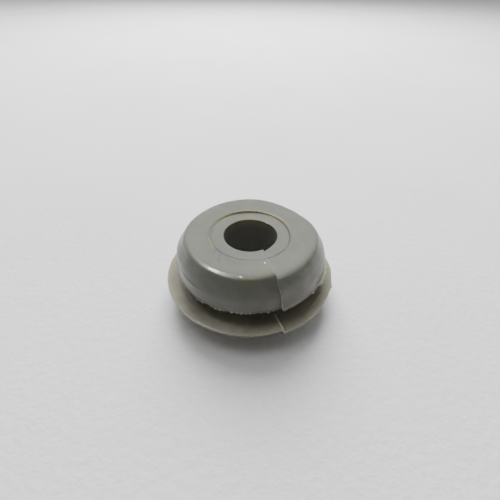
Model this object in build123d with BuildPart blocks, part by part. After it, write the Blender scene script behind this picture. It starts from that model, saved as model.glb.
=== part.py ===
from build123d import *
import math
import os
import random

# A split rubber grommet seal that holds a push-in fuel tap in a tank wall.
# Millimetres, +Z up. The origin is the centre of the foot, on the bore axis.
# From the top down: domed head with a shallow recess round the bore, groove
# for the tank wall, thin wide flange, and a short foot that it stands on.
# One cut runs right through the ring on its front side, and the end to the
# right of the cut is sprung outwards a little.

# ---- driving dimensions -------------------------------------------------
BORE_R = 4.0            # through bore for the tap's spigot
BORE_EDGE = 0.12        # broken edge at the bore's mouths
Z_RECESS = 11.30        # floor of the shallow recess round the bore
RECESS_R = 5.62         # foot of the recess step
STEP_R = 5.80           # top of the recess step
Z_STEP = 11.67          # crown of the head, at the recess step
SHOULDER_R = 9.76       # shoulder corner before rounding
Z_SHOULDER = 11.48
SHOULDER_ROUND = 0.80   # rounding of the shoulder
CREASE_R = 11.55        # moulding line round the head's side
Z_CREASE = 7.85
SIDE_BOW = 0.25         # outward bow of the side between shoulder and crease
HEAD_R = 11.50          # sharp lower edge of the head
Z_HEAD = 6.95           # flat underside of the head, roof of the groove
NECK_R = 8.0            # bottom of the groove
Z_GROOVE_FLOOR = 3.98   # upper face of the flange at the neck
GROOVE_ROUND = 0.35     # rounding in the groove's inner corners
FLANGE_R = 13.2         # thin edge of the flange
Z_FLANGE = 4.17         # upper face of the flange at its edge
FLANGE_EDGE_T = 0.55    # thickness of the flange at its edge
Z_FLANGE_ROOT = 2.75    # underside of the flange at the foot
FOOT_R = 7.5            # short foot under the flange
FOOT_EDGE = 0.5         # rounded lower corner of the foot

SLIT_AZ = -70.8         # direction of the cut, degrees from +X
SLIT_OFFSET = 0.60      # the cut passes this far beside the axis
SLIT_GAP = 0.08         # width of the closed cut
END_REACH = 0.36        # how far the end right of the cut stands outwards
SPRUNG_SWEEP = 46.0     # length of the sprung end, degrees
OVERRUN = 16.0          # extra sweep past the cut, trimmed back to it

FLASH_T = 0.16          # thin moulding flash on the head's lower edge
FLASH_OUT = 0.07        # its usual reach
FLASH_ROOT = 0.6        # how far it is rooted into the head
# torn nibs of flash: (azimuth, half width in degrees, extra reach)
FLASH_NIBS = (
    (-141.7, 1.6, 0.14),
    (-137.1, 1.6, 0.12),
    (-127.5, 2.4, 0.24),
    (-123.0, 2.4, 0.28),
    (-116.0, 1.8, 0.20),
    (-66.0, 2.4, 0.18),
    (-40.0, 1.6, 0.22),
    (-27.4, 2.6, 0.22),
    (-21.5, 2.2, 0.18),
    (-0.7, 2.6, 0.14),
)

REACH = 30.0            # longer than any radius here


def direction(azimuth):
    """Level unit vector at an azimuth in degrees from +X."""
    a = math.radians(azimuth)
    return Vector(math.cos(a), math.sin(a), 0)


along = direction(SLIT_AZ)              # outwards along the cut
across = direction(SLIT_AZ + 90)        # square to the cut, to its right
cut_az = SLIT_AZ + math.degrees(math.asin(SLIT_OFFSET / FLANGE_R))
join_az = cut_az + SPRUNG_SWEEP         # where it flows into the rest
join = direction(join_az)

# The radial plane through the join: local x is the radius, local y is +Z.
section_plane = Plane(
    origin=(0, 0, 0), x_dir=join, z_dir=join.cross(Vector(0, 0, 1))
)
# The sprung end turns about an axis moved straight back from the join, so it
# leaves the rest of the ring without a kink.
axis_shift = END_REACH / (1 - math.cos(math.radians(SPRUNG_SWEEP)))
sprung_axis = Axis(join * -axis_shift, (0, 0, -1))

short_sweep = SPRUNG_SWEEP + OVERRUN
long_sweep = 360 - SPRUNG_SWEEP + OVERRUN


def wedge_beside_cut(angle):
    """Corners, seen from above, of a wedge between the cut and a line that
    opens from it by an angle in degrees, positive to the right."""
    tip = along + across * SLIT_OFFSET
    corners = (
        tip,
        tip + along * REACH,
        tip + direction(SLIT_AZ + angle) * REACH,
    )
    return [(v.X, v.Y) for v in corners]


def strip_along_cut(width):
    """Corners, seen from above, of a strip centred on the cut."""
    corners = []
    for t, s in ((1.0, -0.5), (REACH, -0.5), (REACH, 0.5), (1.0, 0.5)):
        v = along * t + across * (SLIT_OFFSET + s * width)
        corners.append((v.X, v.Y))
    return corners


def edge_radius(azimuth, radius):
    """Radius of the ring at an azimuth, with the sprung end's extra reach."""
    lag = (join_az - azimuth) % 360
    if lag > SPRUNG_SWEEP:
        return radius
    lag = math.radians(lag)
    swung = radius + axis_shift
    return math.sqrt(swung**2 - (axis_shift * math.sin(lag)) ** 2) - axis_shift * math.cos(lag)


# ---- half section of the ring: radius across, height up -----------------
side_r, side_z = CREASE_R - SHOULDER_R, Z_CREASE - Z_SHOULDER
side_chord = math.hypot(side_r, side_z)
side_middle = (
    (SHOULDER_R + CREASE_R) / 2 - SIDE_BOW * side_z / side_chord,
    (Z_SHOULDER + Z_CREASE) / 2 + SIDE_BOW * side_r / side_chord,
)
rounded_corners = (
    (SHOULDER_R, Z_SHOULDER, SHOULDER_ROUND),
    (NECK_R, Z_HEAD, GROOVE_ROUND),
    (NECK_R, Z_GROOVE_FLOOR, GROOVE_ROUND),
    (FLANGE_R, Z_FLANGE, 0.12),
    (FLANGE_R, Z_FLANGE - FLANGE_EDGE_T, 0.20),
    (FOOT_R, Z_FLANGE_ROOT, GROOVE_ROUND),
    (FOOT_R, 0, FOOT_EDGE),
)

with BuildSketch(section_plane) as section:
    with BuildLine():
        Polyline(
            (BORE_R, BORE_EDGE),
            (BORE_R, Z_RECESS - BORE_EDGE),
            (BORE_R + BORE_EDGE, Z_RECESS),
            (RECESS_R, Z_RECESS),
            (STEP_R, Z_STEP),
            (SHOULDER_R, Z_SHOULDER),
        )
        ThreePointArc((SHOULDER_R, Z_SHOULDER), side_middle, (CREASE_R, Z_CREASE))
        Polyline(
            (CREASE_R, Z_CREASE),
            (HEAD_R, Z_HEAD),
            (NECK_R, Z_HEAD),
            (NECK_R, Z_GROOVE_FLOOR),
            (FLANGE_R, Z_FLANGE),
            (FLANGE_R, Z_FLANGE - FLANGE_EDGE_T),
            (FOOT_R, Z_FLANGE_ROOT),
            (FOOT_R, 0),
            (BORE_R + BORE_EDGE, 0),
            (BORE_R, BORE_EDGE),
        )
    make_face()
    for corner_r, corner_z, corner_round in rounded_corners:
        corner = section.vertices().sort_by_distance((corner_r, corner_z, 0))[0]
        fillet(corner, radius=corner_round)

# ---- ring, from the join the long way round to the cut ------------------
with BuildPart() as long_arc:
    revolve(section.sketch, axis=Axis.Z, revolution_arc=long_sweep)
    with BuildSketch(Plane.XY.offset(-1)):
        with BuildLine():
            Polyline(*wedge_beside_cut(24), close=True)
        make_face()
    extrude(amount=REACH, mode=Mode.SUBTRACT)

# ---- sprung end, from the join the short way to the cut -----------------
with BuildPart() as sprung_end:
    revolve(section.sketch, axis=sprung_axis, revolution_arc=short_sweep)
    with BuildSketch(Plane.XY.offset(-1)):
        with BuildLine():
            Polyline(*wedge_beside_cut(-50), close=True)
        make_face()
    extrude(amount=REACH, mode=Mode.SUBTRACT)

# ---- ragged flash left round the head's lower edge ----------------------
tear = random.Random(23)
flash_points = []
root_points = []
azimuth = 0.0
while azimuth < 359.0:
    reach = FLASH_OUT * (0.35 + 1.1 * tear.random())
    for nib_az, half_width, extra in FLASH_NIBS:
        gap = abs((azimuth - nib_az + 180) % 360 - 180)
        if gap < half_width:
            reach += extra * (1 - gap / half_width)
    r = edge_radius(azimuth, HEAD_R)
    v = direction(azimuth) * (r + reach)
    w = direction(azimuth) * (r - FLASH_ROOT)
    flash_points.append((v.X, v.Y))
    root_points.append((w.X, w.Y))
    azimuth += 1.9 + 1.8 * tear.random()

with BuildPart() as flash:
    with BuildSketch(Plane.XY.offset(Z_HEAD)):
        with BuildLine():
            Polyline(*flash_points, close=True)
        make_face()
        with BuildLine():
            Polyline(*root_points, close=True)
        make_face(mode=Mode.SUBTRACT)
    extrude(amount=FLASH_T)

# ---- the whole seal -----------------------------------------------------
with BuildPart() as tap_seal:
    add(long_arc.part)
    add(sprung_end.part)
    add(flash.part)
    with BuildSketch(Plane.XY.offset(-1)):
        with BuildLine():
            Polyline(*strip_along_cut(SLIT_GAP), close=True)
        make_face()
    extrude(amount=REACH, mode=Mode.SUBTRACT)

tap_seal.part.label = "tap_seal"

os.makedirs("parts", exist_ok=True)
export_step(tap_seal.part, "parts/tap_seal.step")

box = tap_seal.part.bounding_box()
print("solids", len(tap_seal.part.solids()), "volume", round(tap_seal.part.volume, 2))
print("box", box.min, box.max)
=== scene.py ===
import math
import random

import bmesh
import bpy
import numpy as np
from mathutils import Matrix, Vector, noise
from mathutils.geometry import tessellate_polygon


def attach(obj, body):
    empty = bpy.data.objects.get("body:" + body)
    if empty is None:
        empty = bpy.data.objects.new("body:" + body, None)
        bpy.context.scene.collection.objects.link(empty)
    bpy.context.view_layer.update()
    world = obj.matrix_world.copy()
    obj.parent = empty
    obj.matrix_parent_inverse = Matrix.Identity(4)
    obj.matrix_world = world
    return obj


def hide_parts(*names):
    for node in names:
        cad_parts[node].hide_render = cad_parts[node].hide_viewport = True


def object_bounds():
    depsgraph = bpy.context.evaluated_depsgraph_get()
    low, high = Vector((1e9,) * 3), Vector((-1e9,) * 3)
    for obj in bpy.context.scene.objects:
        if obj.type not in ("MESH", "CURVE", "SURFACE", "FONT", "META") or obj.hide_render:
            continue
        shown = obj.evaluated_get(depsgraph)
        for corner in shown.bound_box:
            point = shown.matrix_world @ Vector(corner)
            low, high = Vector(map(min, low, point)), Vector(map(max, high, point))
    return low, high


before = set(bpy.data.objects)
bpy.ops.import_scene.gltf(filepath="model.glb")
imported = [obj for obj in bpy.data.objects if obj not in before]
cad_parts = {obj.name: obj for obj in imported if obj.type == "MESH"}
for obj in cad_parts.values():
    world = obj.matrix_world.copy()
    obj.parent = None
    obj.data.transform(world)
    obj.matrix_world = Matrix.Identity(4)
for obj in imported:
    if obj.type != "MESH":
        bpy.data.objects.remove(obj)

cad_lo, cad_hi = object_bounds()
MM = 0.001
scene = bpy.context.scene

# ======================================================================
# Camera: a wide lens close up, looking down at the front of the seal
# ======================================================================
Z_FLOOR_OF_RECESS = 11.30
FOCAL_PX = 370.23
LOOK = Vector((-0.038, 0.0, Z_FLOOR_OF_RECESS - 2.977))
DIST = 57.29
ELEV = math.radians(39.126)
ROLL = 0.0150

cam_data = bpy.data.cameras.new("camera")
cam = bpy.data.objects.new("camera", cam_data)
scene.collection.objects.link(cam)
ce, se = math.cos(ELEV), math.sin(ELEV)
turn = Matrix((
    (1.0, 0.0, 0.0),
    (0.0, se, -ce),
    (0.0, ce, se),
)) @ Matrix.Rotation(ROLL, 3, "Z")
where = (LOOK + Vector((0.0, -DIST * ce, DIST * se))) * MM
cam.matrix_world = Matrix.Translation(where) @ turn.to_4x4()
cam_data.sensor_fit = "HORIZONTAL"
cam_data.sensor_width = 36.0
cam_data.lens = 36.0 * FOCAL_PX / 500.0
cam_data.clip_start = 0.002
cam_data.clip_end = 10.0
cam_data.dof.use_dof = False
scene.camera = cam

# ======================================================================
# The seal: one moulded ring, cut through once
# ======================================================================
SLIT_AZ = -70.8          # direction of the cut
HALF_GAP = 0.005         # the two cut faces lie almost together

HEAD_R = 11.50
Z_HEAD = 6.95
NECK_R = 8.0
FLANGE_R = 13.12
FOOT_R = 7.5


def smooth(t):
    t = np.clip(t, 0.0, 1.0)
    return t * t * (3.0 - 2.0 * t)


def arc(c, r, a0, a1, n):
    """n points of an arc about c, ends left out."""
    out = []
    for i in range(1, n + 1):
        a = math.radians(a0 + (a1 - a0) * i / (n + 1))
        out.append((c[0] + r * math.cos(a), c[1] + r * math.sin(a)))
    return out


def line(a, b, n, ends=(True, False)):
    """Points from a to b; ends says which end points are kept."""
    out = []
    for i in range(n + 1):
        if (i == 0 and not ends[0]) or (i == n and not ends[1]):
            continue
        t = i / n
        out.append((a[0] + (b[0] - a[0]) * t, a[1] + (b[1] - a[1]) * t))
    return out


def fillet(a, b, c, r, n):
    """Rounded corner at b between a-b and b-c, n + 2 points."""
    a, b, c = Vector(a), Vector(b), Vector(c)
    u, v = (a - b).normalized(), (c - b).normalized()
    half = u.angle(v) / 2
    p0, p1 = b + u * (r / math.tan(half)), b + v * (r / math.tan(half))
    m = b + (u + v).normalized() * (r / math.sin(half))
    a0 = math.atan2(p0.y - m.y, p0.x - m.x)
    a1 = math.atan2(p1.y - m.y, p1.x - m.x)
    d = (a1 - a0 + math.pi) % (2 * math.pi) - math.pi
    return [(m.x + r * math.cos(a0 + d * i / (n + 1)), m.y + r * math.sin(a0 + d * i / (n + 1))) for i in range(n + 2)]


CREASE = (11.345, 8.42)
STEP_IN, STEP_OUT = 5.72, 5.98
Z_STEP = 11.62

# the section, once round, with the place where each feature starts
section, mark = [], {}


def put(name, pts):
    mark[name] = (len(section), len(section) + len(pts))
    section.extend(pts)


def curve(ctrl, n):
    """n + 1 points, evenly spaced, of a smooth curve through ctrl."""
    c = [Vector(p) for p in ctrl]
    c = [c[0] * 2 - c[1]] + c + [c[-1] * 2 - c[-2]]
    fine = []
    for p0, p1, p2, p3 in zip(c, c[1:], c[2:], c[3:]):
        for i in range(24):
            t = i / 24
            fine.append(0.5 * (2 * p1 + (p2 - p0) * t + (2 * p0 - 5 * p1 + 4 * p2 - p3) * t * t + (3 * p1 - p0 - 3 * p2 + p3) * t**3))
    fine.append(c[-2])
    run = [0.0]
    for p, q in zip(fine, fine[1:]):
        run.append(run[-1] + (q - p).length)
    xs, ys = [p.x for p in fine], [p.y for p in fine]
    at = np.linspace(0.0, run[-1], n + 1)
    return list(zip(np.interp(at, run, xs), np.interp(at, run, ys)))


put("bore", line((4.0, 0.25), (4.0, 11.12), 12))
put("bore_lip", fillet((4.0, 10.0), (4.0, 11.30), (5.0, 11.30), 0.14, 2))
put("recess", line((4.2, 11.30), (STEP_IN - 0.10, 11.30), 6, (True, True)))
put("step", [
    (STEP_IN, 11.305), (STEP_IN + 0.07, 11.345), (STEP_IN + 0.14, 11.46),
    (STEP_IN + 0.19, 11.56), (STEP_OUT, Z_STEP - 0.01), (STEP_OUT + 0.1, Z_STEP),
])
# crown: nearly level by the recess, then rolling over into the side
put("top", curve([(STEP_OUT + 0.22, Z_STEP), (7.2, 11.61), (8.2, 11.58), (8.9, 11.535)], 10))
put("shoulder", curve([(8.9, 11.535), (9.30, 11.475), (9.60, 11.375), (9.84, 11.19), (10.02, 10.93), (10.18, 10.65), (10.36, 10.35)], 15)[1:])
put("side", curve([(10.36, 10.35), (10.64, 9.86), (10.90, 9.36), (11.13, 8.88), (CREASE[0] - 0.030, CREASE[1] + 0.07)], 13)[1:])
put("crease", [(CREASE[0] + 0.012, CREASE[1] + 0.015), (CREASE[0] + 0.014, CREASE[1] - 0.03), (CREASE[0] - 0.012, CREASE[1] - 0.09)])
put("band", curve([(CREASE[0] - 0.01, CREASE[1] - 0.16), (11.38, 7.90), (11.43, 7.45), (HEAD_R, Z_HEAD + 0.20)], 7))
put("flash", [
    (HEAD_R + 0.01, Z_HEAD + 0.12), (HEAD_R + 0.04, Z_HEAD + 0.08), (HEAD_R + 0.07, Z_HEAD + 0.05),
    (HEAD_R + 0.075, Z_HEAD + 0.01), (HEAD_R + 0.04, Z_HEAD - 0.005), (HEAD_R - 0.06, Z_HEAD - 0.005),
])
put("under", line((HEAD_R - 0.2, Z_HEAD), (NECK_R + 0.36, Z_HEAD), 5, (True, False)))
put("neck_top", fillet((NECK_R + 1, Z_HEAD), (NECK_R, Z_HEAD), (NECK_R, 5.5), 0.35, 3))
put("neck", line((NECK_R, 6.5), (NECK_R, 4.4), 4, (False, False)))
put("neck_foot", fillet((NECK_R, 5.5), (NECK_R, 3.98), (FLANGE_R, 4.16), 0.35, 3))
put("flange_top", line((NECK_R + 0.42, 3.995), (FLANGE_R - 0.12, 4.156), 30, (True, True)))
put("flange_edge", [(FLANGE_R - 0.045, 4.135), (FLANGE_R - 0.005, 4.09), (FLANGE_R, 4.0), (FLANGE_R - 0.01, 3.88), (FLANGE_R - 0.05, 3.76), (FLANGE_R - 0.16, 3.66)])
put("flange_under", line((FLANGE_R - 0.4, 3.60), (FOOT_R + 0.45, 2.80), 8, (True, False)))
put("foot_top", fillet((FOOT_R + 2, 3.05), (FOOT_R, 2.75), (FOOT_R, 1.0), 0.35, 3))
put("foot", line((FOOT_R, 2.3), (FOOT_R, 0.5), 3, (False, False)))
put("foot_edge", fillet((FOOT_R, 1.0), (FOOT_R, 0.0), (6.0, 0.0), 0.5, 4))
put("base", line((6.8, 0.0), (4.25, 0.0), 5, (True, True)))
put("bore_foot", [(4.1, 0.02), (4.02, 0.08)])

P = np.array(section)
NP = len(P)
PR, PZ = P[:, 0], P[:, 1]


def tag(*names):
    w = np.zeros(NP)
    for n in names:
        a, b = mark[n]
        w[a:b] = 1.0
    return w


# ---- the cut isn't quite flat: how far beside the axis it runs ----------
beside = np.where(PZ > 11.25, np.interp(PR, [4.0, 5.5, 7.0, 8.5, 9.7, 10.2], [0.60, 0.50, 0.44, 0.35, 0.26, 0.27]), 0.60)
beside = np.where((PZ <= 11.25) & (PR > 9.0), np.interp(PZ, [6.9, 7.3, 9.2, 10.5, 11.25], [0.62, 0.60, 0.45, 0.34, 0.27]), beside)
beside = np.where((PZ < 7.0) & (PZ > 6.9) & (PR < 11.4), np.interp(PR, [4.0, 8.0, 11.4], [0.60, 0.45, 0.62]), beside)
beside = np.where((PZ <= 6.9) & (PR > 4.3), np.interp(PR, [4.0, 8.0, 9.9, 10.7, 11.4, 13.1], [0.60, 0.42, 0.42, 0.45, 0.52, 0.52]), beside)


# ---- azimuths, close together where the edge is torn --------------------
def slit_az(r, side_sign, offset=None):
    """Azimuth of a cut face at radius r; side_sign +1 is the right end."""
    offset = beside if offset is None else offset
    return SLIT_AZ + np.degrees(np.arcsin((offset + side_sign * HALF_GAP) / r))


AZ0 = float(slit_az(np.array([11.5]), 1, 0.5)[0])      # right end of the ring
AZ1 = AZ0 + 360.0                                      # left end of the ring


def spacing(az):
    a = (az + 180.0) % 360.0 - 180.0
    if -152.0 < a < -18.0:
        return 0.36
    if -180.0 <= a < -152.0 or -18.0 <= a < 12.0:
        return 0.75
    return 1.35


az_list, a = [AZ0], AZ0
while a < AZ1 - 0.3:
    a += spacing(a)
    if a < AZ1 - 0.2:
        az_list.append(a)
az_list.append(AZ1)
AZ = np.array(az_list)
NA = len(AZ)

from_right = AZ - AZ0            # degrees from the right end
from_left = AZ1 - AZ             # degrees from the left end

# ---- how far each part of the section is pushed at the two ends ---------
# right end stands out; left end is drawn in and lifted towards its rim
in_flange = tag("flange_top", "flange_edge", "flange_under") > 0
in_neck = tag("neck_top", "neck", "neck_foot", "foot_top", "foot", "foot_edge", "base", "under") > 0
R_out = np.where(PR < 9.9, np.interp(PR, [4.0, 6.0, 9.7], [0.29, 0.33, 0.37]), np.interp(PZ, [6.9, 8.4, 9.2, 11.0], [0.36, 0.22, 0.30, 0.37]))
R_out = np.where(in_neck, np.interp(PR, [7.5, 8.4, 11.4], [0.0, 0.0, 0.30]), R_out)
R_out = np.where(in_flange, np.interp(PR, [8.0, 13.1], [0.0, 0.14]), R_out)
L_out = np.where(PZ > 4.6, np.interp(PR, [4.0, 7.0, 9.7, 11.5], [-0.17, -0.16, -0.22, -0.14]), -0.10)
L_out = np.where(in_neck | in_flange, np.interp(PR, [7.5, 8.4, 11.4, 13.1], [0.0, 0.0, -0.10, -0.16]), L_out)
L_up = np.where(PZ > 4.6, np.interp(PR, [4.0, 5.6, 6.2, 9.6, 11.5], [0.0, 0.0, 0.06, 0.13, 0.14]), 0.0)
L_up = np.where(in_neck, 0.0, L_up)
L_up = np.where(in_flange, np.interp(PR, [8.4, 9.6, 13.1], [0.02, 0.16, 0.26]), L_up)
R_dn = np.where(in_flange, np.interp(PR, [8.4, 9.6, 13.1], [-0.02, -0.08, -0.10]), 0.0)
R_dn = np.where((PZ > 11.31) & (PR < 10.2), np.interp(PR, [5.7, 9.6], [-0.02, -0.06]), R_dn)


def ease(d, reach, power):
    t = np.clip(1.0 - d / reach, 0.0, 1.0)
    return t**power


wR = ease(from_right, 40.0, 2.0)
wL = ease(from_left, 42.0, 2.0)
wLup = ease(from_left, 24.0, 1.7)

R = np.repeat(PR[None, :], NA, 0).copy()
Z = np.repeat(PZ[None, :], NA, 0).copy()
R += wR[:, None] * R_out[None, :] + wL[:, None] * L_out[None, :]
Z += wLup[:, None] * L_up[None, :] + wR[:, None] * R_dn[None, :]

# ---- small unevenness of the moulding -----------------------------------
rad = np.radians(AZ)


def waves(terms):
    """Sum of (times round, size, phase in degrees)."""
    out = np.zeros(NA)
    for k, size, phase in terms:
        out += size * np.cos(k * rad - math.radians(phase))
    return out


def bumps(terms, base=AZ):
    """Sum of (azimuth, half width, size) smooth bumps."""
    out = np.zeros(NA)
    for az, width, size in terms:
        gap = np.abs((base - az + 180.0) % 360.0 - 180.0)
        out += size * np.exp(-((gap / width) ** 2))
    return out


# the recess ring sits a little off centre, and its step fades in front
def around(az, half_width):
    """1 at an azimuth, falling smoothly to 0 away from it."""
    gap = np.abs((AZ - az + 180.0) % 360.0 - 180.0)
    return np.exp(-((gap / half_width) ** 2))


edge_at = np.interp((AZ + 180.0) % 360.0, [0, 31, 50, 63, 77, 90, 107, 113, 115, 124, 135, 145, 159, 173, 188, 209, 255, 300, 325, 340, 353, 360],
                    [5.84, 5.97, 6.02, 6.02, 5.98, 5.92, 5.90, 5.94, 6.30, 6.28, 6.20, 6.10, 5.98, 5.86, 5.80, 5.84, 5.90, 5.98, 6.00, 5.93, 5.86, 5.84])
ring_shift = edge_at - 5.86
step_tag = tag("step")
near_step = np.exp(-((PR - 5.85) / 0.55) ** 2) * (PZ > 11.0)
R += ring_shift[:, None] * near_step[None, :]
front = smooth((np.cos(rad - math.radians(-92.0)) + 0.10) / 0.70)
left = around(180.0, 34.0)
top_w = (PZ > 11.31) * smooth((9.4 - PR) / 2.6)
# in front and on the left the crown next to the recess is lower
Z -= (0.255 * front + 0.10 * left * (1.0 - front))[:, None] * (top_w * smooth((PR - STEP_IN) / 0.22))[None, :]
# on the left the step is stretched into a soft slope with a second line
R += left[:, None] * (np.where(step_tag > 0, (PR - 5.80) * 1.5, 0.0))[None, :]
# a fine groove runs along the foot of the step
foot_of_step = np.zeros(NP)
foot_of_step[mark["recess"][1] - 1] = 0.3
foot_of_step[mark["step"][0]] = 1.0
Z -= 0.02 * foot_of_step[None, :]

# the head leans a little to the right, and is drawn in low on the left
upper = smooth((PR - 8.6) / 1.2) * smooth((PZ - 8.2) / 2.0) * (PZ > 6.5)
R += (0.13 * np.cos(rad))[:, None] * upper[None, :]
outline = np.interp((AZ + 180.0) % 360.0 - 180.0,
                    [-180, -170, -158, -145, -30, -10, 5, 15, 25, 35, 50, 62, 72, 80, 90, 110, 125, 140, 160, 180],
                    [0.32, 0.26, 0.12, 0.0, 0.0, 0.12, 0.22, 0.18, 0.0, -0.20, -0.20, -0.04, 0.16, 0.34, 0.42, 0.40, 0.28, 0.20, 0.26, 0.32])
dome = smooth((PR - 8.8) / 1.0) * smooth((PZ - 7.9) / 1.3) * (PZ > 6.5)
R += outline[:, None] * dome[None, :]
lower = smooth((9.6 - PZ) / 1.4) * (PZ > 6.9) * smooth((PR - 9.5) / 1.5)
R -= (0.30 * around(-166.0, 26.0))[:, None] * lower[None, :]

# a flatter band along the shoulder in front, with a sharper turn below it
soft_band = np.exp(-((PR - 9.58) / 0.22) ** 2) * (PZ > 11.0)
Z -= (0.055 * around(-112.0, 34.0))[:, None] * soft_band[None, :]

# the flange's rim: slightly wavy, with a notch and a bump on the right
rim_w = smooth((PR - 9.0) / 4.0) * (PZ < 4.4) * (PZ > 2.6)
rim_r = waves([(2, 0.03, 40.0), (3, 0.035, 100.0), (5, 0.02, 10.0)]) + bumps([
    (-128.0, 5.0, 0.06), (-24.0, 7.0, -0.09), (-15.2, 1.3, 0.12), (-19.5, 2.6, -0.05), (-10.5, 2.4, -0.05), (-6.0, 5.0, -0.10), (-29.0, 1.2, -0.05),
    (-34.0, 6.0, -0.06), (-76.0, 6.0, -0.02), (150.0, 8.0, 0.03),
])
R += rim_r[:, None] * rim_w[None, :]
rim_z = waves([(2, 0.05, -30.0), (3, 0.04, 60.0), (4, 0.02, 0.0)])
Z += rim_z[:, None] * (rim_w**1.3)[None, :]

# faint rings on the flange's upper face, and one raised line on the right
ft0, ft1 = mark["flange_top"]
tring = np.zeros((NA, NP))
for ring_r, width, size, az, spread_az in (
    (10.6, 0.10, 0.020, -160.0, 45.0),
    (11.4, 0.10, 0.022, -150.0, 50.0),
    (12.3, 0.12, 0.016, -140.0, 60.0),
    (12.05, 0.13, 0.105, -37.0, 13.0),
    (11.1, 0.14, 0.02, -45.0, 22.0),
):
    gap = np.abs((AZ - az + 180.0) % 360.0 - 180.0)
    wob = 0.12 * np.sin(rad * 3 + ring_r)
    prof = np.exp(-((PR[None, :] - ring_r - wob[:, None]) / width) ** 2)
    tring += np.exp(-((gap / spread_az) ** 2))[:, None] * prof * size
flat = tag("flange_top")
Z += tring * flat[None, :]

# the moulding line on the side stands out on the left and the right only
crease_w = tag("crease")
az_signed = (AZ + 180.0) % 360.0 - 180.0
show = 1.0 - smooth((az_signed + 143.0) / 20.0) * smooth((-24.0 - az_signed) / 20.0)
R += crease_w[None, :] * show[:, None] * 0.0165
# in front the side runs down without a crease
f0_flash = mark["flash"][0]
plain = 1.0 - show
band_w = tag("band")
side_z = [6.9, 7.1, 7.45, 7.9, 8.42, 8.88, 9.36, 9.86, 10.35]
side_r = [11.54, 11.53, 11.48, 11.38, 11.24, 11.07, 10.86, 10.63, 10.36]
hump = np.where((PR > 10.4) & (PZ > 6.96) & (PZ < 10.35), np.interp(PZ, side_z, side_r) - PR, 0.0)
hump[f0_flash:f0_flash + 6] = 0.04
R += plain[:, None] * hump[None, :]
# on the right a valley parts the band from a standing fin of flash
R -= around(-14.0, 20.0)[:, None] * (band_w * 0.20 * np.exp(-((PZ - 7.60) / 0.32) ** 2))[None, :]
R += around(-14.0, 22.0)[:, None] * (crease_w * 0.05)[None, :]

# ---- torn flash on the head's lower edge --------------------------------
teeth = random.Random(41)
tooth_az, az = [], AZ0 - 2.0
while az < AZ1 + 2.0:
    a = (az + 180.0) % 360.0 - 180.0
    fine = -116.0 < a < -72.0
    width = (1.7 + 1.7 * teeth.random()) if fine else (1.2 + 2.4 * teeth.random())
    reach = teeth.random()
    tall = (0.31 if fine else 0.08) * (0.30 + reach)
    tooth_az.append((az, width, tall))
    az += width
tooth = np.zeros(NA)
for az, width, tall in tooth_az:
    t = (AZ - az) / width
    inside = (t >= 0) & (t < 1)
    tooth = np.where(inside, tall * np.clip(1.0 - np.abs(2 * t - 1.0), 0.0, 1.0) ** 0.5, tooth)
nibs = (
    (-141.7, 1.3, 0.16), (-137.1, 1.2, 0.14), (-128.0, 1.5, 0.26), (-125.8, 1.3, 0.18),
    (-123.4, 1.4, 0.25), (-116.1, 1.0, 0.20), (-66.8, 2.0, 0.12), (-61.5, 1.2, 0.10),
    (-57.0, 1.5, 0.08), (-40.3, 1.2, 0.32), (-37.6, 0.9, 0.16), (-30.2, 1.4, 0.38), (-27.2, 2.2, 0.42),
    (-22.8, 2.4, 0.36), (-17.5, 3.4, 0.44), (-11.0, 3.6, 0.36), (-4.5, 4.2, 0.30),
    (4.0, 5.0, 0.20),
)
for az, width, tall in nibs:
    gap = np.abs((AZ - az + 180.0) % 360.0 - 180.0)
    rough = 1.0 + 0.25 * np.sin(AZ * 5.3) * np.sin(AZ * 2.1)
    tooth = np.maximum(tooth, tall * np.clip(1.35 * (1 - (gap / width) ** 2), 0, 1) * rough * (gap < width))
f0, f1 = mark["flash"]
flash_w = np.zeros(NP)
flash_w[f0:f0 + 5] = (0.05, 0.45, 1.0, 1.0, 0.4)
hang = around(-96.0, 26.0)
R += tooth[:, None] * flash_w[None, :] * (0.85 - 0.72 * hang)[:, None]
Z -= tooth[:, None] * flash_w[None, :] * (0.45 - 0.35 * around(-18.0, 20.0) + 0.50 * hang)[:, None]

# thin ragged edge of the flange
rag = np.array([noise.noise(Vector((math.cos(x) * 9, math.sin(x) * 9, 3.1))) + 0.6 * noise.noise(Vector((math.cos(x) * 26, math.sin(x) * 26, 7.7))) for x in rad])
edge_w = tag("flange_edge")
R += (0.035 * rag)[:, None] * edge_w[None, :]

# gentle unevenness of the whole surface, so reflections aren't perfect
uneven = np.zeros((NA, NP))
for i in range(NA):
    cx, sx = math.cos(rad[i]), math.sin(rad[i])
    for j in range(NP):
        if PR[j] > 4.3 and PZ[j] > 0.3:
            uneven[i, j] = noise.noise(Vector((cx * PR[j] * 0.33, sx * PR[j] * 0.33, PZ[j] * 0.33)))
top_side = (PZ > 7.0) & (PR > 5.5)
Z += uneven * np.where(PZ > 11.35, 0.035, 0.0)[None, :]
R += uneven * np.where(top_side & (PZ <= 11.35), 0.05, 0.0)[None, :]

# ---- nothing leaves the box of the solid that this stands for -----------
Z = np.clip(Z, 0.0, cad_hi.z / MM - 0.002)
LIMIT = min(cad_hi.x, cad_hi.y, -cad_lo.x, -cad_lo.y) / MM
R = np.minimum(R, LIMIT - 0.004)

# ---- azimuth of each point: the ends lie in the plane of the cut --------
A = np.repeat(AZ[:, None], NP, 1).copy()
for i in range(NA):
    if from_right[i] < 30.0:
        w = float(smooth(np.array(1.0 - from_right[i] / 30.0)))
        A[i] += w * (slit_az(R[i], 1) - AZ0)
    if from_left[i] < 30.0:
        w = float(smooth(np.array(1.0 - from_left[i] / 30.0)))
        A[i] += w * (slit_az(R[i], -1) + 360.0 - AZ1)

X = R * np.cos(np.radians(A)) * MM
Y = R * np.sin(np.radians(A)) * MM
ZZ = Z * MM

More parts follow.
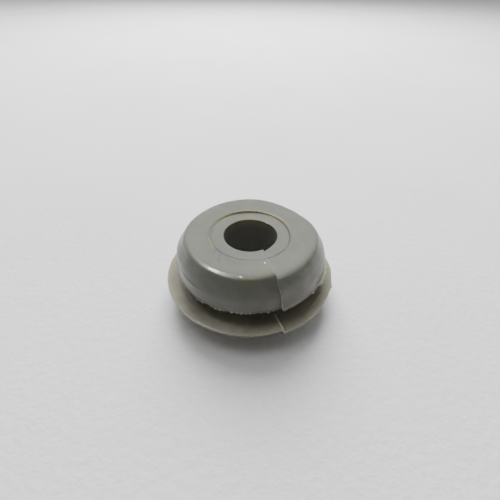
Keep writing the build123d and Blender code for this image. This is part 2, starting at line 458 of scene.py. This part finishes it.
bm = bmesh.new()
grid = [[bm.verts.new((X[i, j], Y[i, j], ZZ[i, j])) for j in range(NP)] for i in range(NA)]
for i in range(NA - 1):
    for j in range(NP):
        k = (j + 1) % NP
        f = bm.faces.new((grid[i][j], grid[i][k], grid[i + 1][k], grid[i + 1][j]))
        f.smooth = True
for i in (0, NA - 1):
    flat_ring = [Vector((R[i, j], Z[i, j], 0.0)) for j in range(NP)]
    for tri in tessellate_polygon([flat_ring]):
        try:
            f = bm.faces.new([grid[i][j] for j in tri])
            f.smooth = False
            f.material_index = 1
        except ValueError:
            pass
bmesh.ops.recalc_face_normals(bm, faces=bm.faces)
# the cut faces meet the outside in a sharp edge
for e in bm.edges:
    if len(e.link_faces) == 2 and e.calc_face_angle(0.0) > math.radians(50.0):
        e.smooth = False
mesh = bpy.data.meshes.new("rubber_seal")
bm.to_mesh(mesh)
bm.free()
seal = bpy.data.objects.new("rubber_seal", mesh)
scene.collection.objects.link(seal)
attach(seal, "root")
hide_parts("tap_seal")


# ======================================================================
# Materials
# ======================================================================
class Nodes:
    """Short names for building a node tree."""

    def __init__(self, material):
        material.use_nodes = True
        self.tree = material.node_tree
        self.tree.nodes.clear()

    def new(self, kind, **settings):
        n = self.tree.nodes.new(kind)
        for k, v in settings.items():
            setattr(n, k, v)
        return n

    def link(self, a, b):
        self.tree.links.new(a, b)

    def feed(self, socket, value):
        if isinstance(value, bpy.types.NodeSocket):
            self.link(value, socket)
        elif value is not None:
            socket.default_value = value

    def math(self, op, a, b=None, c=None, clamp=False):
        n = self.new("ShaderNodeMath", operation=op, use_clamp=clamp)
        for s, v in zip(n.inputs, (a, b, c)):
            self.feed(s, v)
        return n.outputs[0]

    def vmath(self, op, a, b=None):
        n = self.new("ShaderNodeVectorMath", operation=op)
        self.feed(n.inputs[0], a)
        if b is not None:
            self.feed(n.inputs[1], b)
        return n

    def ramp(self, value, lo, hi, out_lo=0.0, out_hi=1.0, kind="SMOOTHSTEP"):
        n = self.new("ShaderNodeMapRange", interpolation_type=kind)
        n.clamp = True
        self.feed(n.inputs[0], value)
        for s, v in zip(n.inputs[1:5], (lo, hi, out_lo, out_hi)):
            s.default_value = v
        return n.outputs[0]

    def mix(self, factor, a, b, blend="MIX"):
        n = self.new("ShaderNodeMix", data_type="RGBA", blend_type=blend)
        n.clamp_factor = True
        self.feed(n.inputs[0], factor)
        self.feed(n.inputs[6], a)
        self.feed(n.inputs[7], b)
        return n.outputs[2]

    def noise(self, where, scale, detail=3.0, rough=0.5, distortion=0.0):
        n = self.new("ShaderNodeTexNoise")
        self.link(where, n.inputs["Vector"])
        n.inputs["Scale"].default_value = scale
        n.inputs["Detail"].default_value = detail
        n.inputs["Roughness"].default_value = rough
        n.inputs["Distortion"].default_value = distortion
        return n.outputs[0]


def rgb(r, g, b):
    """sRGB 0-255 to a linear colour."""
    def lin(c):
        c /= 255.0
        return c / 12.92 if c <= 0.04045 else ((c + 0.055) / 1.055) ** 2.4
    return (lin(r), lin(g), lin(b), 1.0)


def rubber(name="grey_rubber", pale=0.0):
    m = bpy.data.materials.new(name)
    g = Nodes(m)
    out = g.new("ShaderNodeOutputMaterial")
    bsdf = g.new("ShaderNodeBsdfPrincipled")
    g.link(bsdf.outputs[0], out.inputs[0])
    at_m = g.new("ShaderNodeTexCoord").outputs["Object"]
    at = g.vmath("SCALE", at_m)
    at.inputs[3].default_value = 1000.0          # millimetres from here on
    at = at.outputs[0]
    xyz = g.new("ShaderNodeSeparateXYZ")
    g.link(at, xyz.inputs[0])
    x, y, z = xyz.outputs
    r = g.math("SQRT", g.math("ADD", g.math("MULTIPLY", x, x), g.math("MULTIPLY", y, y)))

    plan_n = g.new("ShaderNodeCombineXYZ")
    g.link(x, plan_n.inputs[0])
    g.link(y, plan_n.inputs[1])
    plan = plan_n.outputs[0]
    crown = g.ramp(z, 10.9, 11.2)

    def spot(px, py, pz, radius, soft=0.35, warp=0.0):
        """1 near a point on the surface, falling to 0 at the radius."""
        flat = pz > 11.25
        where = plan if flat else at
        pz = 0.0 if flat else pz
        if warp:
            shake = g.new("ShaderNodeTexNoise")
            g.link(at, shake.inputs["Vector"])
            shake.inputs["Scale"].default_value = 1.6 / radius
            off = g.vmath("SCALE", g.vmath("SUBTRACT", shake.outputs["Color"], (0.5, 0.5, 0.5)).outputs[0])
            off.inputs[3].default_value = warp * radius * 2.0
            where = g.vmath("ADD", where, off.outputs[0]).outputs[0]
        d = g.vmath("DISTANCE", where, (px, py, pz)).outputs[1]
        near = g.ramp(d, radius * soft, radius, 1.0, 0.0)
        return g.math("MULTIPLY", near, crown) if flat else near

    brim = g.ramp(z, 4.6, 4.9, 1.0, 0.0)

    def stroke(p0, p1, width, soft=0.3, warp=0.0, only=None):
        """1 along a straight mark between two points, seen in plan."""
        a, b = Vector((p0[0], p0[1], 0.0)), Vector((p1[0], p1[1], 0.0))
        d = b - a
        where = plan
        if warp:
            shake = g.new("ShaderNodeTexNoise")
            g.link(at, shake.inputs["Vector"])
            shake.inputs["Scale"].default_value = 1.1
            off = g.vmath("SCALE", g.vmath("SUBTRACT", shake.outputs["Color"], (0.5, 0.5, 0.5)).outputs[0])
            off.inputs[3].default_value = warp
            where = g.vmath("ADD", plan, off.outputs[0]).outputs[0]
        rel = g.vmath("SUBTRACT", where, tuple(a)).outputs[0]
        t = g.math("DIVIDE", g.vmath("DOT_PRODUCT", rel, tuple(d)).outputs[1], d.length_squared, clamp=True)
        foot = g.vmath("SCALE", tuple(d))
        g.link(t, foot.inputs[3])
        gap = g.vmath("LENGTH", g.vmath("SUBTRACT", rel, foot.outputs[0]).outputs[0]).outputs[1]
        return g.math("MULTIPLY", g.ramp(gap, width * soft, width, 1.0, 0.0), only or crown)

    # --- colour: neutral grey head, warmer flange and lower edge ---
    cloud = g.noise(at, 0.16, 3.0, 0.55)
    mottle = g.noise(at, 0.9, 4.0, 0.6)
    speck = g.noise(at, 4.2, 2.0, 0.5)
    head = g.mix(g.ramp(cloud, 0.35, 0.65), rgb(108, 109, 101), rgb(103, 103, 95))
    # painted light: the flange is painted lighter in front than behind and at the sides, making up for the head's
    # shadow falling on its front
    flange = g.mix(g.ramp(cloud, 0.35, 0.65), rgb(150, 146, 129), rgb(140, 136, 119))
    flange_behind = g.mix(g.ramp(cloud, 0.35, 0.65), rgb(130, 127, 112), rgb(122, 119, 104))
    flange = g.mix(g.ramp(y, -9.0, -1.5), flange, flange_behind)
    low = g.ramp(z, 6.0, 7.6, 1.0, 0.0)
    colour = g.mix(low, head, flange)
    # slow warm patches over the head's side
    patch = g.ramp(g.noise(at, 0.23, 2.0, 0.5, 0.6), 0.50, 0.68)
    side_only = g.ramp(z, 10.4, 11.2, 1.0, 0.0)
    colour = g.mix(g.math("MULTIPLY", g.math("MULTIPLY", patch, side_only), 0.30), colour, rgb(94, 87, 68))
    colour = g.mix(g.math("MULTIPLY", g.ramp(mottle, 0.40, 0.62), 0.16), colour, rgb(84, 83, 78))
    colour = g.mix(g.math("MULTIPLY", g.ramp(speck, 0.60, 0.72), 0.10), colour, rgb(124, 123, 117))

    # painted shade: the lower part of the side is painted darker in front, towards the bottom, where the flange and
    # the dim floor in front leave it in shade
    low_front_shade = g.math("MULTIPLY", g.ramp(z, 6.9, 10.5, 1.0, 0.0), g.math("MULTIPLY", g.ramp(z, 6.4, 6.7), g.ramp(y, -8.5, -4.0, 1.0, 0.0)))
    colour = g.mix(g.math("MULTIPLY", low_front_shade, 0.72), colour, rgb(76, 73, 64))

    # yellow-brown stain on the back of the recess step and bore rim
    back = g.ramp(y, 0.5, 4.5)
    step_band = g.math("MULTIPLY", g.ramp(r, 5.62, 5.80), g.ramp(r, 6.05, 6.35, 1.0, 0.0))
    on_top = g.ramp(z, 11.0, 11.25)
    stain = g.math("MULTIPLY", g.math("MULTIPLY", step_band, back), on_top)
    colour = g.mix(g.math("MULTIPLY", stain, g.ramp(g.noise(at, 0.55, 3.0), 0.25, 0.62, 0.40, 0.8)), colour, rgb(146, 138, 106))
    inside = g.math("MULTIPLY", g.ramp(r, 4.12, 4.03, 0.0, 1.0), g.ramp(z, 11.2, 10.0, 0.0, 1.0))
    colour = g.mix(inside, colour, rgb(118, 117, 113))
    rim = g.math("MULTIPLY", g.ramp(r, 4.20, 4.04, 0.0, 1.0), g.ramp(z, 9.6, 11.0))
    colour = g.mix(g.math("MULTIPLY", g.math("MULTIPLY", rim, back), 0.80), colour, rgb(150, 142, 112))
    # dull yellow-green stain running over the shoulder in front
    for px, py, pz, size, amount in (
        (-0.1, -9.55, 11.28, 0.75, 0.34), (-0.6, -10.05, 10.95, 0.55, 0.34), (0.35, -9.90, 11.0, 0.60, 0.34),
        (-0.85, -10.30, 10.65, 0.45, 0.26), (1.3, -9.3, 11.35, 0.7, 0.20), (1.9, -8.3, 11.5, 1.0, 0.22),
        (2.7, -7.3, 11.55, 0.9, 0.20), (3.55, -7.4, 11.6, 0.7, 0.20), (3.3, -6.6, 11.6, 0.6, 0.14),
        (-0.2, -7.2, 11.6, 1.1, 0.10), (0.9, -8.9, 11.45, 0.5, 0.18),
    ):
        colour = g.mix(g.math("MULTIPLY", spot(px, py, pz, size, 0.0, 1.0), amount * 1.3), colour, rgb(112, 112, 48))
    # warm brown haze on the right of the side
    for px, py, pz, size, amount in (
        (8.7, -6.9, 9.2, 2.2, 0.34), (6.6, -9.2, 8.9, 1.9, 0.28), (10.2, -3.2, 10.0, 2.4, 0.26),
        (8.3, -5.9, 10.9, 1.2, 0.40), (7.2, -8.7, 8.8, 1.2, 0.36), (9.4, -4.0, 10.9, 1.1, 0.22),
        (-10.2, -3.0, 9.4, 2.2, 0.20), (8.0, 6.2, 11.0, 1.8, 0.26),
    ):
        colour = g.mix(g.math("MULTIPLY", spot(px, py, pz, size, 0.1, 0.5), amount), colour, rgb(86, 76, 48))
    # yellowish scrape left of the recess and the faint marks beyond it
    scrape = g.math("MAXIMUM", stroke((-6.15, -1.2, 11.6), (-5.45, -2.5, 11.55), 0.30, 0.0, 0.35), stroke((-5.7, -2.6, 11.6), (-5.1, -3.2, 11.5), 0.30, 0.0, 0.35))
    colour = g.mix(g.math("MULTIPLY", scrape, 0.62), colour, rgb(140, 141, 88))
    faint = None
    for p0, p1, width in (
        ((-5.75, -4.15), (-4.80, -4.05), 0.20), ((-4.95, -3.95), (-5.15, -5.25), 0.16), ((-5.1, -3.1), (-3.85, -4.75), 0.20),
        ((-4.12, -4.20), (-4.36, -5.60), 0.20), ((-4.36, -5.60), (-4.10, -6.65), 0.22), ((-3.9, -4.7), (-3.3, -5.2), 0.15),
        ((-3.2, -5.3), (-1.9, -6.9), 0.16),
    ):
        one = stroke(p0, p1, width, 0.0, 0.5)
        faint = one if faint is None else g.math("MAXIMUM", faint, one)
    colour = g.mix(g.math("MULTIPLY", faint, 0.45), colour, rgb(76, 76, 75))
    # painted shade: a grey line in the fine groove at the foot of the step, on its front half
    ring = g.math("MULTIPLY", g.ramp(g.math("ABSOLUTE", g.math("SUBTRACT", r, 5.93)), 0.04, 0.20, 1.0, 0.0), g.math("MULTIPLY", g.ramp(y, -2.0, 0.5, 1.0, 0.0), on_top))
    colour = g.mix(g.math("MULTIPLY", ring, g.ramp(g.noise(at, 0.8, 2.0), 0.3, 0.6, 0.45, 0.80)), colour, rgb(64, 64, 65))
    # painted highlight: the left edge of the cut on the crown is painted pale where the raised edge catches light
    cut_edge_highlight = g.math("MAXIMUM", stroke((2.22, -5.25, 0), (2.86, -7.05, 0), 0.11, 0.05, 0.04), stroke((2.86, -7.05, 0), (3.22, -8.75, 0), 0.10, 0.05, 0.04))
    colour = g.mix(g.math("MULTIPLY", cut_edge_highlight, 0.32), colour, rgb(150, 150, 138))
    # painted highlight and painted shadow at the cut on the flange: its raised left lip is painted pale where its edge
    # catches light, and the lower right side beside it is painted darker where the lip shades it
    lip_highlight = stroke((3.66, -9.42, 0), (4.66, -12.15, 0), 0.20, 0.05, 0.06, brim)
    colour = g.mix(g.math("MULTIPLY", lip_highlight, 0.85), colour, rgb(206, 202, 182))
    lip_shadow = stroke((4.05, -9.50, 0), (4.85, -11.75, 0), 0.50, 0.0, 0.10, brim)
    colour = g.mix(g.math("MULTIPLY", lip_shadow, 0.45), colour, rgb(84, 80, 68))
    colour = g.mix(g.math("MULTIPLY", lip_highlight, 0.5), colour, rgb(206, 202, 182))
    ridge_mark = g.math("MAXIMUM", stroke((8.75, -8.05, 0), (9.62, -7.00, 0), 0.12, 0.1, 0.05, brim), stroke((9.62, -7.00, 0), (10.62, -5.30, 0), 0.12, 0.1, 0.05, brim))
    colour = g.mix(g.math("MULTIPLY", ridge_mark, 0.75), colour, rgb(188, 184, 168))
    # small spots
    colour = g.mix(g.math("MULTIPLY", spot(-0.9, 7.8, 11.6, 0.26, 0.3), 0.5), colour, rgb(100, 64, 58))
    colour = g.mix(g.math("MULTIPLY", spot(1.0, 6.0, 11.6, 0.17, 0.4), 0.9), colour, rgb(70, 48, 30))
    colour = g.mix(g.math("MULTIPLY", spot(4.8, -2.05, 11.3, 0.16, 0.4), 0.5), colour, rgb(110, 96, 90))
    # a white fleck on the flange by the cut, and a painted highlight on the crown standing in for a glint
    white_fleck_and_glint = g.math("MAXIMUM", spot(2.0, -6.5, 11.55, 0.15, 0.4), spot(4.9, -11.1, 4.2, 0.13, 0.4))
    colour = g.mix(white_fleck_and_glint, colour, rgb(236, 238, 236))
    # torn flash is thin and pale
    flash = g.math("MULTIPLY", g.ramp(r, 11.56, 11.72), g.math("MULTIPLY", g.ramp(z, 6.5, 6.7), g.ramp(z, 7.05, 7.2, 1.0, 0.0)))
    colour = g.mix(g.math("MULTIPLY", flash, 0.6), colour, rgb(142, 142, 134))
    tip = g.math("MULTIPLY", g.ramp(r, 11.3, 11.45), g.math("MULTIPLY", g.ramp(z, 6.3, 6.4), g.ramp(z, 6.80, 6.92, 1.0, 0.0)))
    colour = g.mix(g.math("MULTIPLY", tip, 0.25), colour, rgb(142, 142, 134))
    on_right = g.math("MULTIPLY", g.ramp(x, 8.2, 10.2), g.ramp(y, 3.0, 0.0, 0.0, 1.0))
    def level(z0, half):
        """1 within a thin level band of the head's side."""
        return g.ramp(g.math("ABSOLUTE", g.math("SUBTRACT", z, z0)), half * 0.3, half, 1.0, 0.0)
    outer = g.ramp(r, 10.6, 10.9)
    # painted highlight along the crease line on the right of the side
    colour = g.mix(g.math("MULTIPLY", g.math("MULTIPLY", level(8.43, 0.16), outer), g.math("MULTIPLY", on_right, 0.65)), colour, rgb(160, 160, 150))
    # painted shade in the valley below the crease on the right
    colour = g.mix(g.math("MULTIPLY", g.math("MULTIPLY", level(7.62, 0.50), outer), g.math("MULTIPLY", on_right, 0.75)), colour, rgb(84, 80, 66))
    colour = g.mix(g.math("MULTIPLY", g.math("MULTIPLY", g.ramp(r, 11.50, 11.62), g.math("MULTIPLY", g.ramp(z, 6.4, 6.6), g.ramp(z, 7.20, 7.32, 1.0, 0.0))), g.math("MULTIPLY", on_right, 0.9)), colour, rgb(172, 170, 156))
    # the thin rim of the flange is paler
    thin = g.math("MULTIPLY", g.ramp(r, 12.4, 13.1), g.ramp(z, 4.5, 4.7, 1.0, 0.0))
    colour = g.mix(g.math("MULTIPLY", thin, 0.45), colour, rgb(150, 146, 130))
    # painted light: the cut faces are painted pale, standing in for the light from the left that falls on them
    if pale:
        colour = g.mix(g.ramp(g.noise(at, 2.0, 3.0), 0.3, 0.7, pale * 0.85, pale), colour, rgb(186, 184, 166))
    g.link(colour, bsdf.inputs["Base Color"])

    # --- gloss: satin, with duller and shinier patches ---
    gloss = g.noise(at, 0.35, 4.0, 0.6)
    rough = g.ramp(gloss, 0.3, 0.7, 0.34, 0.46, "LINEAR")
    fine = g.ramp(g.noise(at, 5.5, 3.0, 0.6), 0.35, 0.7, -0.03, 0.05, "LINEAR")
    rough = g.math("ADD", rough, fine)
    rough = g.math("ADD", rough, g.math("MULTIPLY", g.ramp(z, 5.2, 7.0, 1.0, 0.0), 0.16))
    rough = g.math("SUBTRACT", rough, g.math("MULTIPLY", white_fleck_and_glint, 0.1))
    g.link(rough, bsdf.inputs["Roughness"])

    # --- relief: skin of the moulding, shallow scratches ---
    skin = g.math("MULTIPLY", g.noise(at, 1.3, 4.0, 0.55), 0.020)
    grain = g.math("MULTIPLY", g.noise(at, 9.0, 3.0, 0.6), 0.0022)
    height = g.math("ADD", skin, grain)
    height = g.math("SUBTRACT", height, g.math("MULTIPLY", faint, 0.02))
    height = g.math("SUBTRACT", height, g.math("MULTIPLY", scrape, 0.03))
    bump = g.new("ShaderNodeBump")
    bump.inputs["Strength"].default_value = 0.55
    bump.inputs["Distance"].default_value = MM
    g.link(height, bump.inputs["Height"])
    g.link(bump.outputs[0], bsdf.inputs["Normal"])

    bsdf.inputs["IOR"].default_value = 1.40
    bsdf.inputs["Coat Weight"].default_value = 0.28
    bsdf.inputs["Coat Roughness"].default_value = 0.09
    bsdf.inputs["Coat IOR"].default_value = 1.45
    bsdf.inputs["Subsurface Weight"].default_value = 0.22
    bsdf.inputs["Subsurface Radius"].default_value = (1.0, 0.85, 0.6)
    bsdf.inputs["Subsurface Scale"].default_value = 0.0007
    return m


seal.data.materials.append(rubber())
# the cut faces get the pale copy of the rubber: painted light
seal.data.materials.append(rubber("cut_faces_painted_light", 0.92))


def paper():
    m = bpy.data.materials.new("pale_floor")
    g = Nodes(m)
    out = g.new("ShaderNodeOutputMaterial")
    bsdf = g.new("ShaderNodeBsdfPrincipled")
    g.link(bsdf.outputs[0], out.inputs[0])
    at = g.new("ShaderNodeTexCoord").outputs["Object"]
    n1 = g.noise(at, 900.0, 3.0, 0.6)
    n2 = g.noise(at, 25.0, 2.0, 0.5)
    c = g.mix(g.ramp(n2, 0.3, 0.7), rgb(226, 226, 226), rgb(222, 221, 222))
    c = g.mix(g.math("MULTIPLY", g.ramp(n1, 0.35, 0.7), 0.25), c, rgb(210, 210, 212))
    g.link(c, bsdf.inputs["Base Color"])
    bsdf.inputs["Roughness"].default_value = 0.7
    bsdf.inputs["Specular IOR Level"].default_value = 0.05
    bump = g.new("ShaderNodeBump")
    bump.inputs["Strength"].default_value = 0.8
    bump.inputs["Distance"].default_value = 0.0002
    g.link(n1, bump.inputs["Height"])
    g.link(bump.outputs[0], bsdf.inputs["Normal"])
    return m


# ======================================================================
# Floor and light
# ======================================================================
floor_mesh = bpy.data.meshes.new("floor")
H = 1.6
floor_mesh.from_pydata([(-H, -H, 0), (H, -H, 0), (H, H, 0), (-H, H, 0)], [], [(0, 1, 2, 3)])
floor = bpy.data.objects.new("floor", floor_mesh)
scene.collection.objects.link(floor)
floor.data.materials.append(paper())
floor.location.z = cad_lo.z - 0.00001

world = bpy.data.worlds.new("studio")
scene.world = world
world.use_nodes = True
wt = world.node_tree
wt.nodes.clear()
wo = wt.nodes.new("ShaderNodeOutputWorld")
bg = wt.nodes.new("ShaderNodeBackground")
wt.links.new(bg.outputs[0], wo.inputs[0])
bg.inputs[1].default_value = 0.56
coord = wt.nodes.new("ShaderNodeTexCoord")
split = wt.nodes.new("ShaderNodeSeparateXYZ")
wt.links.new(coord.outputs["Generated"], split.inputs[0])


def world_ramp(value, lo, hi, out_lo, out_hi):
    n = wt.nodes.new("ShaderNodeMapRange")
    n.interpolation_type = "SMOOTHSTEP"
    wt.links.new(value, n.inputs[0])
    for socket, v in zip(n.inputs[1:5], (lo, hi, out_lo, out_hi)):
        socket.default_value = v
    return n.outputs[0]


def world_times(a, b):
    n = wt.nodes.new("ShaderNodeMath")
    n.operation = "MULTIPLY"
    wt.links.new(a, n.inputs[0])
    wt.links.new(b, n.inputs[1])
    return n.outputs[0]


# a dim room in front and to the right, a pale wall behind and on the left
depth = world_ramp(split.outputs[1], -0.60, 0.45, 0.23, 1.0)
side_glow = world_ramp(split.outputs[0], -0.8, 0.8, 0.90, 1.10)
glow = world_times(world_times(depth, side_glow), world_ramp(split.outputs[2], 0.0, 0.58, 0.12, 1.24))
tint = wt.nodes.new("ShaderNodeCombineXYZ")
for k, share in enumerate((0.97, 0.99, 1.0)):
    m_ = wt.nodes.new("ShaderNodeMath")
    m_.operation = "MULTIPLY"
    wt.links.new(glow, m_.inputs[0])
    m_.inputs[1].default_value = share
    wt.links.new(m_.outputs[0], tint.inputs[k])
wt.links.new(tint.outputs[0], bg.inputs[0])


def lamp(name, direction, distance, size, power, colour=(1, 1, 1), size_y=None, along=None):
    """A soft panel that looks at the seal; along turns its long side."""
    d = bpy.data.lights.new(name, "AREA")
    d.shape = "RECTANGLE" if size_y else "SQUARE"
    d.size = size
    if size_y:
        d.size_y = size_y
    d.energy = power
    d.color = colour
    o = bpy.data.objects.new(name, d)
    scene.collection.objects.link(o)
    v = Vector(direction).normalized()
    x_axis = Vector(along or (1.0, 0.0, 0.0))
    x_axis = (x_axis - v * x_axis.dot(v)).normalized()
    y_axis = v.cross(x_axis)
    o.matrix_world = Matrix.Translation(Vector((0, 0, 0.008)) + v * distance) @ Matrix((x_axis, y_axis, v)).transposed().to_4x4()
    return o


window = lamp("window", (-0.05, 1.0, 0.92), 0.36, 0.27, 3.8, (0.98, 0.99, 1.0))
window.visible_glossy = False        # a scrim: it lights without a mirror image
overhead = lamp("overhead", (-0.2, 0.0, 0.98), 1.1, 0.5, 2.2, (1.0, 0.99, 0.98))
overhead.visible_glossy = False
# two small ceiling lamps that only glint on the shoulder
glint = lamp("glint", (-0.110, -0.065, 0.99), 1.1, 0.05, 2.5, (1.0, 0.99, 0.97), 0.10, (1.0, 0.13, 0.0))
glint.visible_diffuse = False
glint_left = lamp("glint_left", (-0.476, 0.107, 0.865), 1.1, 0.18, 18.0, (1.0, 0.99, 0.97), 0.25, (0.139, -0.114, 0.092))
glint_left.visible_diffuse = False
